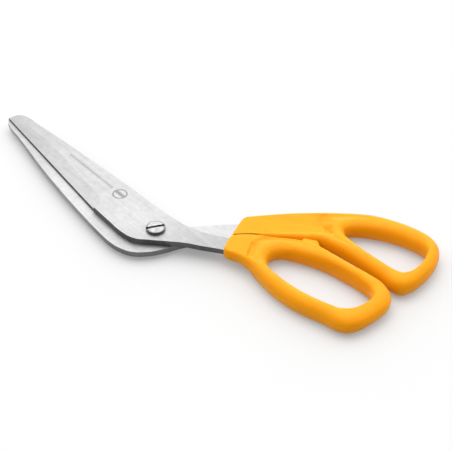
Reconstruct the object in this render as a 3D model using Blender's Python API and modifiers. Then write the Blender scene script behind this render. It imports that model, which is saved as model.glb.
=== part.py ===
"""Poultry shears: two pivoting blades with moulded plastic handles. Metres, +Z up.

The origin lies on the pivot axis, at the level of the surface that the shears lie on, and +X runs along the
closed blades towards the tips. Sizes below are in millimetres, and MM turns them into metres.
"""

import math

import bmesh
import bpy
import numpy as np
from mathutils import Matrix, Vector

MM = 0.001
GAP = 0.3  # clearance between pieces that touch
WELD = 0.00001  # merging distance, in metres
SHARP_ANGLE = math.radians(35.0)

# Levels. The two blades meet at the middle plane, which is also the middle of both loops.
MIDDLE = 6.5
STOCK = 3.3  # thickness of the blade steel
UPPER_BASE = MIDDLE + GAP / 2
UPPER_TOP = UPPER_BASE + STOCK
LOWER_TOP = MIDDLE - GAP / 2
LOWER_BASE = LOWER_TOP - STOCK
TIP_STOCK = 2.2  # the steel thins towards the tips

# Pivot
SHANK_R = 3.0
HEAD_R = 5.5
HEAD_H = 1.9
NUT_ACROSS_FLATS = 10.0

# Blade edge
EDGE_LAND = 0.9  # steel left at the edge by the wide grind
EDGE_BEVEL = 0.3  # width of the steep bevel that makes the edge itself
GRIND_WIDTH = 7.8

ANCHOR_R = 2.5  # holes in the tangs that the plastic runs through

LOOP_HALF = 6.3  # half the depth of the loops
NECK_HALF = 3.6  # half the depth of the flat necks


def clear_scene():
    for old in list(bpy.data.objects):
        bpy.data.objects.remove(old, do_unlink=True)


def material(name, colour, roughness, metallic):
    made = bpy.data.materials.new(name)
    made.use_nodes = True
    shader = made.node_tree.nodes["Principled BSDF"]
    shader.inputs["Base Color"].default_value = (*colour, 1.0)
    shader.inputs["Roughness"].default_value = roughness
    shader.inputs["Metallic"].default_value = metallic
    return made


def collection(name):
    made = bpy.data.collections.new(name)
    bpy.context.scene.collection.children.link(made)
    return made


# --- outlines and plates --------------------------------------------------------------------------


def plate(name, outline, base, top, holder):
    """A flat mesh plate. The outline is (x, y, kind): kind 'r' is a round point and 'c' a corner."""
    curve = bpy.data.curves.new(name, "CURVE")
    curve.dimensions = "2D"
    curve.fill_mode = "BOTH"
    curve.resolution_u = 6
    curve.extrude = (top - base) / 2 * MM
    spline = curve.splines.new("BEZIER")
    spline.bezier_points.add(len(outline) - 1)
    for point, (x, y, kind) in zip(spline.bezier_points, outline):
        point.co = (x * MM, y * MM, 0.0)
        side = "AUTO" if kind == "r" else "VECTOR"
        point.handle_left_type = side
        point.handle_right_type = side
    spline.use_cyclic_u = True
    drawn = bpy.data.objects.new(name + "_outline", curve)
    drawn.location.z = (base + top) / 2 * MM
    holder.objects.link(drawn)
    mesh = evaluated_mesh(drawn)
    mesh.name = name
    mesh.transform(drawn.matrix_world)
    bpy.data.objects.remove(drawn, do_unlink=True)
    weld(mesh)
    made = bpy.data.objects.new(name, mesh)
    holder.objects.link(made)
    return made


def evaluated_mesh(made):
    bpy.context.view_layer.update()
    evaluated = made.evaluated_get(bpy.context.evaluated_depsgraph_get())
    return bpy.data.meshes.new_from_object(evaluated)


def weld(mesh):
    work = bmesh.new()
    work.from_mesh(mesh)
    bmesh.ops.remove_doubles(work, verts=work.verts, dist=WELD)
    bmesh.ops.recalc_face_normals(work, faces=work.faces)
    work.to_mesh(mesh)
    work.free()


def shade_round(mesh):
    """Shades curved faces smooth and keeps the corners sharp."""
    mesh.shade_smooth()
    mesh.set_sharp_from_angle(angle=SHARP_ANGLE)


# --- Booleans -------------------------------------------------------------------------------------


def boolean(target, other, operation):
    step = target.modifiers.new(operation.lower() + "_" + other.name, "BOOLEAN")
    step.operation = operation
    step.object = other
    other.hide_render = True
    other.display_type = "WIRE"


def cylinder(name, radius, centre, base, top, holder, sides=32):
    mesh = bpy.data.meshes.new(name)
    work = bmesh.new()
    bmesh.ops.create_cone(
        work, cap_ends=True, segments=sides, radius1=radius * MM, radius2=radius * MM, depth=(top - base) * MM
    )
    work.to_mesh(mesh)
    work.free()
    made = bpy.data.objects.new(name, mesh)
    made.location = (centre[0] * MM, centre[1] * MM, (base + top) / 2 * MM)
    holder.objects.link(made)
    return made


def turned(name, profile, holder, closed=False, steps=48):
    """A solid of revolution. The profile is (radius, height), down its outer side, or closed for a ring."""
    mesh = bpy.data.meshes.new(name)
    work = bmesh.new()
    ring = [work.verts.new((radius * MM, 0.0, height * MM)) for radius, height in profile]
    following = ring[1:] + ring[:1] if closed else ring[1:]
    for first, second in zip(ring, following):
        work.edges.new((first, second))
    work.to_mesh(mesh)
    work.free()
    made = bpy.data.objects.new(name, mesh)
    holder.objects.link(made)
    spin = made.modifiers.new("turn", "SCREW")
    spin.steps = steps
    spin.render_steps = steps
    spin.use_merge_vertices = True
    spin.merge_threshold = WELD
    solid = evaluated_mesh(made)
    weld(solid)
    made.modifiers.clear()
    made.data = solid
    shade_round(solid)
    return made


# --- blades ---------------------------------------------------------------------------------------

EDGE_HEEL = (36.5, 17.0)  # where the upper cutting edge starts
EDGE_TIP = (137.6, 9.9)
GRIND_HEEL = (38.0, 9.6)  # line along which the wide grind starts
GRIND_TIP = (137.0, 1.4)
TURN_OVER_Y = 7.4  # turning the upper edge over about this line gives the lower edge
TAPER_START = 92.0

# A tang starts at a point and runs along an angle. On its -Y side it is wider at the start, by its flare.
UPPER_TANG = {
    "at": (-31.6, -22.9),
    "angle": 217.0,
    "width": 10.4,
    "length": 14.0,
    "flare": 0.0,
    "anchors": (9.0,),
}
LOWER_TANG = {
    "at": (-23.9, -38.2),
    "angle": 236.0,
    "width": 10.7,
    "length": 40.0,
    "flare": 0.4,
    "anchors": (14.0, 32.0),
}
FLARE_LENGTH = 2.5


def along(tang, distance, side=0.0):
    """A point in a tang: so far along its middle line, and so far to its left."""
    angle = math.radians(tang["angle"])
    x = tang["at"][0] + distance * math.cos(angle) - side * math.sin(angle)
    y = tang["at"][1] + distance * math.sin(angle) + side * math.cos(angle)
    return x, y


def tang_outline(tang):
    """The points of a tang, from the start of its flared side round its end to its other side."""
    half = tang["width"] / 2
    return [
        (*along(tang, 0.0, -half - tang["flare"]), "r"),
        (*along(tang, FLARE_LENGTH, -half), "c"),
        (*along(tang, tang["length"], -half), "c"),
        (*along(tang, tang["length"], half), "c"),
        (*along(tang, FLARE_LENGTH, half), "c"),
        (*along(tang, 0.0, half), "r"),
    ]


UPPER_OUTLINE = [
    (*EDGE_TIP, "c"),
    (*EDGE_HEEL, "c"),
    (22.0, 16.9, "r"),
    (9.0, 16.5, "r"),
    (1.0, 14.2, "r"),
    (-6.0, 7.4, "r"),
    (-13.0, 0.0, "r"),
    (-19.0, -6.2, "r"),
    (-26.0, -11.6, "r"),
    *tang_outline(UPPER_TANG),
    (-19.0, -20.5, "r"),
    (-11.0, -16.7, "r"),
    (-2.0, -14.2, "r"),
    (10.0, -12.3, "r"),
    (40.0, -9.5, "r"),
    (80.0, -4.8, "r"),
    (120.0, 0.2, "r"),
    (130.6, 1.5, "r"),
    (134.3, 3.5, "r"),
    (136.4, 7.2, "r"),
]

LOWER_OUTLINE = [
    (EDGE_TIP[0], 2 * TURN_OVER_Y - EDGE_TIP[1], "c"),
    (138.1, 7.9, "r"),
    (136.6, 10.6, "r"),
    (132.4, 12.5, "r"),
    (120.0, 14.1, "r"),
    (80.0, 19.8, "r"),
    (40.0, 23.5, "r"),
    (20.0, 24.5, "r"),
    (10.0, 24.5, "r"),
    (2.2, 23.0, "r"),
    (-4.4, 19.6, "r"),
    (-9.7, 12.8, "r"),
    (-12.8, 5.0, "r"),
    (-15.6, -7.1, "r"),
    (-19.0, -16.0, "r"),
    (-24.6, -26.8, "r"),
    *tang_outline(LOWER_TANG),
    (-14.0, -33.0, "r"),
    (-8.9, -24.0, "r"),
    (-4.0, -17.0, "r"),
    (8.0, -10.5, "r"),
    (20.0, -5.6, "r"),
    (EDGE_HEEL[0], 2 * TURN_OVER_Y - EDGE_HEEL[1], "c"),
]


def on_line(start, end, tilt, level):
    """A frame on the line from start to end, with X along it, turned about it by tilt."""
    heading = math.atan2(end[1] - start[1], end[0] - start[0])
    place = Matrix.Translation(Vector((start[0] * MM, start[1] * MM, level * MM)))
    return place @ Matrix.Rotation(heading, 4, "Z") @ Matrix.Rotation(tilt, 4, "X")


# Faces of the cutters: along the line that they work on and across it
GRIND_FACE = [
    (16.0, -1.5, "r"),
    (130.0, -1.5, "c"),
    (130.0, 20.0, "c"),
    (-2.0, 20.0, "c"),
    (-2.0, 7.0, "c"),
    (-1.2, 3.4, "r"),
    (1.8, 1.0, "r"),
    (7.2, -0.8, "r"),
]
BEVEL_FACE = [(0.3, 0.0, "c"), (120.0, 0.0, "c"), (120.0, 4.0, "c"), (0.3, 4.0, "c")]
TAPER_FACE = [(-5.0, -40.0, "c"), (80.0, -40.0, "c"), (80.0, 40.0, "c"), (-5.0, 40.0, "c")]
CUTTER_DEPTH = 8.0
BEVEL_INSET = 0.05


def blade_cutters(name, turned_over, holder):
    """The wide grind, the thinning towards the tip and the edge bevel, for the upper blade or turned over."""
    grind = plate(name + "_grind", GRIND_FACE, 0.0, CUTTER_DEPTH, holder)
    tilt = math.atan2(STOCK - EDGE_LAND, GRIND_WIDTH)
    grind.data.transform(on_line(GRIND_HEEL, GRIND_TIP, -tilt, UPPER_TOP))
    bevel = plate(name + "_bevel", BEVEL_FACE, -1.0, CUTTER_DEPTH, holder)
    start, end = ((x, y - BEVEL_INSET) for x, y in (EDGE_HEEL, EDGE_TIP))
    bevel.data.transform(on_line(start, end, math.atan2(EDGE_BEVEL, EDGE_LAND), UPPER_BASE))
    taper = plate(name + "_taper", TAPER_FACE, 0.0, CUTTER_DEPTH, holder)
    slope = math.atan2(STOCK - TIP_STOCK, EDGE_TIP[0] - TAPER_START)
    start_of_taper = Matrix.Translation(Vector((TAPER_START * MM, 0.0, UPPER_TOP * MM)))
    taper.data.transform(start_of_taper @ Matrix.Rotation(slope, 4, "Y"))
    cutters = [grind, taper, bevel]
    if turned_over:
        axis = Matrix.Translation(Vector((0.0, TURN_OVER_Y * MM, MIDDLE * MM)))
        flip = axis @ Matrix.Rotation(math.pi, 4, "X") @ axis.inverted()
        for cutter in cutters:
            cutter.data.transform(flip)
    return cutters


def blade(name, outline, base, tang, turned_over, steel, parts, cutters):
    made = plate(name, outline, base, base + STOCK, parts)
    made.data.materials.append(steel)
    for cutter in blade_cutters(name, turned_over, cutters):
        boolean(made, cutter, "DIFFERENCE")
    through = base - 2, base + STOCK + 2
    hole = cylinder(name + "_pivot_hole", SHANK_R + GAP, (0.0, 0.0), *through, cutters)
    boolean(made, hole, "DIFFERENCE")
    for place in tang["anchors"]:
        anchor = cylinder(name + "_anchor", ANCHOR_R, along(tang, place), *through, cutters, 24)
        boolean(made, anchor, "DIFFERENCE")
    return made


# --- handles --------------------------------------------------------------------------------------

FINGER_OUTER = [
    (-40.0, -19.6), (-46.3, -22.6), (-53.0, -24.0), (-60.2, -23.6), (-75.0, -22.7), (-89.5, -24.1),
    (-100.0, -27.0), (-111.2, -31.0), (-120.0, -33.2), (-125.4, -36.9), (-127.8, -44.0), (-127.2, -55.1),
    (-124.8, -65.0), (-119.0, -71.8), (-110.6, -74.0), (-101.5, -72.6), (-88.4, -69.8), (-75.4, -67.0),
    (-65.7, -64.9), (-58.6, -61.8), (-50.6, -54.4), (-43.8, -47.3), (-35.7, -39.6), (-30.3, -31.4),
    (-30.0, -29.7), (-30.5, -28.0), (-36.2, -20.3), (-37.7, -19.4),
]
FINGER_HOLE = [
    (-54.6, -39.2), (-56.3, -35.6), (-61.0, -32.6), (-68.0, -31.5), (-78.0, -31.9), (-90.0, -34.0),
    (-101.5, -37.2), (-111.7, -41.8), (-116.9, -47.4), (-118.0, -53.6), (-115.9, -60.5), (-110.7, -63.7),
    (-99.4, -63.3), (-88.7, -61.4), (-77.9, -58.3), (-67.0, -53.0), (-58.9, -47.6), (-55.4, -43.1),
]
FINGER_NECK = UPPER_BASE + STOCK / 2
# Each row: outer point, hole point, outer rounding, hole rounding, level and half depth outside, half depth
# at the ridge round the hole, and the depth and width of the dip beyond it, up to the crease.
FINGER_SECTIONS = [
    (0.0, 0.3, 1.6, 6.5, FINGER_NECK, NECK_HALF, 5.4, 1.6, 5.8),
    (1.0, 0.7, 2.0, 6.3, FINGER_NECK, NECK_HALF, 5.5, 1.5, 5.5),
    (2.0, 1.2, 2.8, 6.0, MIDDLE + 1.0, 4.5, 5.6, 1.0, 6.5),
    (3.0, 2.0, 3.8, 5.4, MIDDLE, 5.8, 5.8, 0.3, 7.0),
    (4.0, 3.8, 4.6, 5.0, MIDDLE, LOOP_HALF, LOOP_HALF, 0.0, 7.0),
    (7.0, 6.8, 5.0, 5.0, MIDDLE, LOOP_HALF, LOOP_HALF, 0.0, 7.0),
    (9.0, 7.7, 6.8, 3.0, MIDDLE, 5.9, 5.9, 0.0, 7.0),
    (11.0, 9.5, 7.4, 2.4, MIDDLE, 5.6, 5.6, 0.0, 7.0),
    (13.0, 10.6, 6.8, 3.0, MIDDLE, 5.9, 5.9, 0.0, 7.0),
    (15.0, 12.0, 5.0, 5.0, MIDDLE, LOOP_HALF, LOOP_HALF, 0.0, 7.0),
    (17.0, 14.2, 4.6, 5.0, MIDDLE, LOOP_HALF, LOOP_HALF, 0.0, 7.0),
    (19.0, 15.8, 3.6, 5.4, MIDDLE, 5.8, 5.8, 0.2, 6.5),
    (20.0, 16.5, 2.4, 6.0, MIDDLE + 1.0, 4.5, 5.6, 0.5, 6.5),
    (22.0, 17.3, 1.6, 6.3, FINGER_NECK, NECK_HALF, 5.5, 0.8, 7.6),
    (24.0, 17.6, 1.6, 6.4, FINGER_NECK, NECK_HALF, 5.5, 1.3, 7.8),
    (26.0, 18.0, 1.6, 6.5, FINGER_NECK, NECK_HALF, 5.4, 1.6, 6.2),
]

THUMB_OUTER = [
    (-29.9, -32.1), (-34.85, -40.3), (-42.05, -48.6), (-48.7, -55.95), (-53.3, -60.4), (-62.0, -67.3),
    (-75.0, -71.8), (-90.0, -74.3), (-104.0, -76.2), (-113.8, -77.1), (-118.5, -79.9), (-119.9, -86.4),
    (-118.3, -95.6), (-114.8, -104.8), (-109.6, -112.8), (-103.6, -117.9), (-96.2, -119.4), (-86.0, -117.4),
    (-74.5, -112.8), (-62.6, -105.7), (-53.7, -97.4), (-45.2, -87.6), (-35.0, -74.9), (-26.2, -60.8),
    (-20.4, -50.5), (-19.0, -47.5), (-19.5, -44.9), (-27.4, -31.8), (-28.7, -30.9),
]
THUMB_HOLE = [
    (-62.8, -84.6), (-65.4, -82.7), (-70.5, -82.1), (-80.0, -82.5), (-91.0, -83.3), (-101.5, -84.9),
    (-108.9, -87.2), (-112.1, -91.5), (-111.5, -97.2), (-108.5, -104.2), (-105.0, -108.6), (-99.3, -109.6),
    (-91.0, -107.6), (-82.0, -103.8), (-72.6, -97.5), (-66.1, -91.4), (-63.2, -87.3),
]
THUMB_NECK = LOWER_TOP - STOCK / 2 + 0.6
THUMB_NECK_HALF = 4.2
THUMB_SECTIONS = [
    (0.0, 0.35, 2.0, 6.0, THUMB_NECK, THUMB_NECK_HALF, 5.4, 1.6, 5.4),
    (2.0, 0.6, 2.0, 6.0, MIDDLE - 0.9, 4.4, 5.4, 1.6, 4.7),
    (4.0, 1.1, 2.6, 5.6, MIDDLE - 0.5, 5.0, 5.5, 1.2, 4.6),
    (5.0, 1.7, 3.4, 5.2, MIDDLE, 5.8, 5.8, 0.5, 4.9),
    (7.0, 3.9, 4.6, 5.0, MIDDLE, LOOP_HALF, LOOP_HALF, 0.0, 7.0),
    (9.0, 6.0, 5.0, 3.6, MIDDLE, 5.9, 5.9, 0.0, 7.0),
    (11.0, 7.2, 5.4, 2.0, MIDDLE, 5.6, 5.6, 0.0, 7.0),
    (13.0, 9.0, 5.4, 1.8, MIDDLE, 5.6, 5.6, 0.0, 7.0),
    (15.0, 10.2, 5.4, 3.2, MIDDLE, 5.9, 5.9, 0.0, 7.0),
    (17.0, 12.2, 5.0, 5.4, MIDDLE, LOOP_HALF, LOOP_HALF, 0.0, 7.0),
    (19.0, 14.4, 4.4, 5.4, MIDDLE, 6.0, 6.0, 0.2, 8.0),
    (21.0, 15.9, 3.2, 5.6, MIDDLE - 0.4, 5.2, 5.7, 0.9, 16.0),
    (22.0, 16.3, 2.4, 5.8, MIDDLE - 0.9, 4.5, 5.5, 1.4, 13.8),
    (24.0, 16.7, 1.8, 6.0, THUMB_NECK, THUMB_NECK_HALF, 5.4, 1.6, 8.2),
    (27.0, 17.0, 1.8, 6.0, THUMB_NECK, THUMB_NECK_HALF, 5.4, 1.6, 5.4),
]

# A stop on the finger handle fills the gap between the handles and limits how far they close.
STOP_OUTLINE = [(-55.0, -61.2), (-61.2, -66.1), (-66.4, -64.2), (-62.0, -59.5), (-56.5, -58.0)]
STOP_BASE = 2.2
STOP_TOP = 10.8
STOP_ROUNDING = 0.7

STATION_SPACING = 2.6
QUARTER_STEPS = 3  # facets in each rounded quarter of a section
VALLEY_STEPS = 4  # facets in the dip beyond the ridge
FLAT_STEPS = 2  # facets across the flat top beyond the dip
LEAST_FLAT = 0.4  # least width between the two roundings
SQUARENESS = 2.15  # superellipse power of the sections: 2 is an ellipse
SEAM_RISE = 0.12  # the parting line stands out of the outer side by this much


def smooth_point(points, at):
    """The point at a fractional index of a closed centripetal Catmull-Rom curve."""
    index = math.floor(at)
    before, start, end, after = (np.array(points[(index + step) % len(points)]) for step in (-1, 0, 1, 2))
    gap_before = math.sqrt(np.linalg.norm(start - before))
    gap = math.sqrt(np.linalg.norm(end - start))
    gap_after = math.sqrt(np.linalg.norm(after - end))
    slope = (end - start) / gap
    leave = gap * ((start - before) / gap_before - (end - before) / (gap_before + gap) + slope)
    arrive = gap * (slope - (after - start) / (gap + gap_after) + (after - end) / gap_after)
    t = at - index
    return (
        (2 * t**3 - 3 * t**2 + 1) * start
        + (t**3 - 2 * t**2 + t) * leave
        + (3 * t**2 - 2 * t**3) * end
        + (t**3 - t**2) * arrive
    )


def right_normal(points, at):
    """The unit normal on the right of the curve: out of an outline that runs anticlockwise."""
    step = 0.02
    ahead = smooth_point(points, at + step) - smooth_point(points, at - step)
    ahead /= np.linalg.norm(ahead)
    return np.array((ahead[1], -ahead[0]))


def section_at(sections, at, outer_count, hole_count):
    """The section's values at a fractional outer index, eased between the listed sections."""
    first = sections[0]
    closing = (first[0] + outer_count, first[1] + hole_count, *first[2:])
    for start, end in zip(sections, [*sections[1:], closing]):
        if start[0] <= at <= end[0]:
            share = (at - start[0]) / (end[0] - start[0])
            eased = share * share * (3 - 2 * share)
            hole_at = start[1] + share * (end[1] - start[1])
            return [hole_at] + [a + eased * (b - a) for a, b in zip(start[2:], end[2:])]
    raise ValueError("no section at this index")


def quarter(step):
    """How far in and how far up a rounded quarter of a section is, from 0 to 1."""
    turn = math.pi / 2 * step / QUARTER_STEPS
    return 1 - abs(math.cos(turn)) ** (2 / SQUARENESS), math.sin(turn) ** (2 / SQUARENESS)


def section_ring(outer, hole, sections, at):
    """The closed section from the hole over the top to the outside and back underneath, as 3-D points.

    It rounds over from the hole to a ridge, dips, meets the flat top in a crease and rounds over outside.
    """
    row = section_at(sections, at, len(outer), len(hole))
    hole_at, edge, bowl, level, half, ridge, dip, valley = row
    outside = smooth_point(outer, at)
    outward = right_normal(outer, at)
    inside = smooth_point(hole, hole_at)
    shoulder = outside - edge * outward
    span = np.linalg.norm(shoulder - inside)
    across = (shoulder - inside) / span
    bowl = min(bowl, span - LEAST_FLAT)
    fit = min(1.0, (span - bowl) / valley)
    valley *= fit
    dip *= fit
    top = []
    for step in range(QUARTER_STEPS + 1):
        reach, rise = quarter(step)
        top.append((*(inside + bowl * reach * across), MIDDLE, ridge * rise))
    for step in range(1, VALLEY_STEPS + FLAT_STEPS):
        share = min(1.0, step / VALLEY_STEPS)
        beyond = max(0.0, (step - VALLEY_STEPS) / FLAT_STEPS)
        plan = inside + (bowl + share * valley + beyond * (span - bowl - valley)) * across
        eased = share * share * (3 - 2 * share)
        low = dip * 6.75 * share * share * (1 - share)
        top.append((*plan, MIDDLE + eased * (level - MIDDLE), ridge + eased * (half - ridge) - low))
    for step in range(QUARTER_STEPS, 0, -1):
        reach, rise = quarter(step)
        top.append((*(outside - edge * reach * outward), level, half * rise))
    top.append((*(outside + SEAM_RISE * outward), level, 0.0))
    above = [(x, y, middle + rise) for x, y, middle, rise in top]
    below = [(x, y, middle - rise) for x, y, middle, rise in top[-2:0:-1]]
    return above + below


def stations(outer):
    """Fractional outer indices, about STATION_SPACING apart along the outline."""
    places = []
    for index, start in enumerate(outer):
        end = outer[(index + 1) % len(outer)]
        steps = max(1, round(math.dist(start, end) / STATION_SPACING))
        places += [index + step / steps for step in range(steps)]
    return places


def handle_body(name, outer, hole, sections, plastic, holder):
    """A loft round the hole, between sections that are unlike at the neck and along the loop."""
    rings = [section_ring(outer, hole, sections, at) for at in stations(outer)]
    size = len(rings[0])
    points = [(x * MM, y * MM, z * MM) for ring in rings for x, y, z in ring]
    faces = []
    for ring in range(len(rings)):
        following = (ring + 1) % len(rings)
        for corner in range(size):
            after = (corner + 1) % size
            here, there = ring * size, following * size
            faces.append((here + corner, here + after, there + after, there + corner))
    mesh = bpy.data.meshes.new(name)
    mesh.from_pydata(points, [], faces)
    weld(mesh)
    shade_round(mesh)
    mesh.materials.append(plastic)
    made = bpy.data.objects.new(name, mesh)
    holder.objects.link(made)
    return made


def add_stop(handle, cutters):
    """Joins the closing stop to a handle."""
    outline = [(*point, "c") for point in STOP_OUTLINE]
    lug = plate(handle.name + "_stop", outline, STOP_BASE, STOP_TOP, cutters)
    rim = lug.modifiers.new("rim", "BEVEL")
    rim.width = STOP_ROUNDING * MM
    rim.segments = 1
    boolean(handle, lug, "UNION")


POCKET_LEAD = 14.0  # how far the pocket's cutter stands out of the neck
POCKET_SPLAY = 2.0


def fit_tang(handle, tang, base, cutters):
    """Cuts the pocket for a tang, open at the neck's end, and runs the plastic through the anchor holes."""
    half = tang["width"] / 2 + GAP
    end = tang["length"] + GAP
    corners = [
        (-POCKET_LEAD, -half - tang["flare"] - POCKET_SPLAY),
        (0.0, -half - tang["flare"]),
        (FLARE_LENGTH, -half),
        (end, -half),
        (end, half),
        (-POCKET_LEAD, half),
    ]
    outline = [(*along(tang, distance, side), "c") for distance, side in corners]
    pocket = plate(handle.name + "_pocket", outline, base - GAP, base + STOCK + GAP, cutters)
    boolean(handle, pocket, "DIFFERENCE")
    levels = base - 1, base + STOCK + 1
    for place in tang["anchors"]:
        peg = cylinder(handle.name + "_peg", ANCHOR_R - GAP, along(tang, place), *levels, cutters, 24)
        boolean(handle, peg, "UNION")


# --- pivot ----------------------------------------------------------------------------------------

HARDWARE_GAP = 0.2
HEAD_BASE = UPPER_TOP + HARDWARE_GAP
WASHER_R = 5.4
WASHER_T = 0.5
WASHER_BASE = LOWER_BASE - HARDWARE_GAP - WASHER_T
SPRING_R = 4.8
SPRING_T = 0.3
SPRING_LIFT = 0.1  # how far the waves of the spring washer rise and fall
WAVES = 3
SPRING_BASE = WASHER_BASE - HARDWARE_GAP - SPRING_LIFT - SPRING_T
NUT_TOP = SPRING_BASE - SPRING_LIFT - HARDWARE_GAP
NUT_BASE = 0.1
NUT_RIM = 0.25
SLOT_ANGLE = -111.0
SLOT_SIZE = (14.0, 1.5, 2.4)
HEAD_CHAMFER = 0.9


def pivot_screw(steel, parts, cutters):
    top = HEAD_BASE + HEAD_H
    profile = [
        (0.0, top),
        (HEAD_R - HEAD_CHAMFER, top),
        (HEAD_R - HEAD_CHAMFER / 4, top - HEAD_CHAMFER / 2),
        (HEAD_R, top - HEAD_CHAMFER),
        (HEAD_R, HEAD_BASE + 0.2),
        (HEAD_R - 0.2, HEAD_BASE),
        (SHANK_R, HEAD_BASE),
        (SHANK_R, 0.4),
        (SHANK_R - 0.4, 0.0),
        (0.0, 0.0),
    ]
    screw = turned("pivot_screw", profile, parts)
    screw.data.materials.append(steel)
    mesh = bpy.data.meshes.new("slot")
    work = bmesh.new()
    bmesh.ops.create_cube(work, size=1.0)
    bmesh.ops.scale(work, verts=work.verts, vec=[size * MM for size in SLOT_SIZE])
    work.to_mesh(mesh)
    work.free()
    slot = bpy.data.objects.new("slot", mesh)
    slot.location.z = top * MM
    slot.rotation_euler.z = math.radians(SLOT_ANGLE)
    cutters.objects.link(slot)
    boolean(screw, slot, "DIFFERENCE")


def washer(name, radius, base, thick, lift, steel, parts):
    """A flat washer, or with a lift a waved spring washer."""
    bore = SHANK_R + GAP
    profile = [(bore, base + thick), (radius, base + thick), (radius, base), (bore, base)]
    made = turned(name, profile, parts, closed=True)
    made.data.materials.append(steel)
    for vertex in made.data.vertices:
        vertex.co.z += lift * MM * math.cos(WAVES * math.atan2(vertex.co.y, vertex.co.x))


def pivot_nut(steel, parts, cutters):
    nut = cylinder("pivot_nut", NUT_ACROSS_FLATS / math.sqrt(3), (0.0, 0.0), NUT_BASE, NUT_TOP, parts, 6)
    nut.data.materials.append(steel)
    rim = nut.modifiers.new("rim", "BEVEL")
    rim.width = NUT_RIM * MM
    rim.segments = 1
    hole = cylinder("pivot_nut_hole", SHANK_R + GAP, (0.0, 0.0), -2, NUT_TOP + 2, cutters)
    boolean(nut, hole, "DIFFERENCE")


def main():
    clear_scene()
    parts = collection("poultry_shears")
    cutters = collection("cutters")
    blade_steel = material("blade_steel", (0.60, 0.60, 0.61), 0.38, 1.0)
    plastic = material("yellow_plastic", (1.0, 0.42, 0.015), 0.32, 0.0)
    bright_steel = material("bright_steel", (0.78, 0.78, 0.79), 0.12, 1.0)
    blade("upper_blade", UPPER_OUTLINE, UPPER_BASE, UPPER_TANG, False, blade_steel, parts, cutters)
    blade("lower_blade", LOWER_OUTLINE, LOWER_BASE, LOWER_TANG, True, blade_steel, parts, cutters)
    finger = handle_body("finger_handle", FINGER_OUTER, FINGER_HOLE, FINGER_SECTIONS, plastic, parts)
    add_stop(finger, cutters)
    fit_tang(finger, UPPER_TANG, UPPER_BASE, cutters)
    thumb = handle_body("thumb_handle", THUMB_OUTER, THUMB_HOLE, THUMB_SECTIONS, plastic, parts)
    fit_tang(thumb, LOWER_TANG, LOWER_BASE, cutters)
    pivot_screw(bright_steel, parts, cutters)
    washer("flat_washer", WASHER_R, WASHER_BASE, WASHER_T, 0.0, bright_steel, parts)
    washer("spring_washer", SPRING_R, SPRING_BASE, SPRING_T, SPRING_LIFT, bright_steel, parts)
    pivot_nut(bright_steel, parts, cutters)


main()
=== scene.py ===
"""Looks for the poultry shears: finer blades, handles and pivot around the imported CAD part."""

import math

import bmesh
import bpy
import numpy as np
from mathutils import Matrix, Vector


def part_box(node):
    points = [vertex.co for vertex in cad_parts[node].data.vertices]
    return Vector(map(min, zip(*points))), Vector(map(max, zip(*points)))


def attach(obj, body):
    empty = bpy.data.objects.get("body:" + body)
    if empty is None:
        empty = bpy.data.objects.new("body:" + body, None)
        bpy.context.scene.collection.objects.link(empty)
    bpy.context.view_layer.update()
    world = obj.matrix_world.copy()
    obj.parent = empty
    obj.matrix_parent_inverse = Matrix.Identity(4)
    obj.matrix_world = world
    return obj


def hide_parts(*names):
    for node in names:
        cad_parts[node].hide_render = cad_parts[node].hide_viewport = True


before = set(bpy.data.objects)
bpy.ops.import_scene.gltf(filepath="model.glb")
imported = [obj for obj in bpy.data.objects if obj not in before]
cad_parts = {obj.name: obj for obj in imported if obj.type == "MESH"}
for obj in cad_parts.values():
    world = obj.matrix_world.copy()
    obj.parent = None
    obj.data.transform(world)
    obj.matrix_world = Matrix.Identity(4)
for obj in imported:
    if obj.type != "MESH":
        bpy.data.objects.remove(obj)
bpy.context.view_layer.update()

MM = 0.001
WELD = 0.00001
SHARP_ANGLE = math.radians(30.0)

# Levels, read from the CAD nodes, in millimetres
UPPER_BASE, UPPER_TOP = (corner.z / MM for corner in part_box("upper_blade"))
LOWER_BASE, LOWER_TOP = (corner.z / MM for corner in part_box("lower_blade"))
HANDLE_BASE, HANDLE_TOP = (corner.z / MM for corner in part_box("finger_handle"))
WASHER_BASE, WASHER_TOP = (corner.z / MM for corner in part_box("flat_washer"))
SPRING_BASE, SPRING_TOP = (corner.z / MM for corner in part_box("spring_washer"))
NUT_BASE, NUT_TOP = (corner.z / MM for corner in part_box("pivot_nut"))
SCREW_BASE, SCREW_TOP = (corner.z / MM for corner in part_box("pivot_screw"))
HEAD_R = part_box("pivot_screw")[1].x / MM
WASHER_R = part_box("flat_washer")[1].x / MM
SPRING_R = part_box("spring_washer")[1].x / MM
MIDDLE = (UPPER_BASE + LOWER_TOP) / 2
STOCK = UPPER_TOP - UPPER_BASE
LOOP_HALF = (HANDLE_TOP - HANDLE_BASE) / 2
GAP = 0.3

# --- materials ------------------------------------------------------------------------------------


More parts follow.
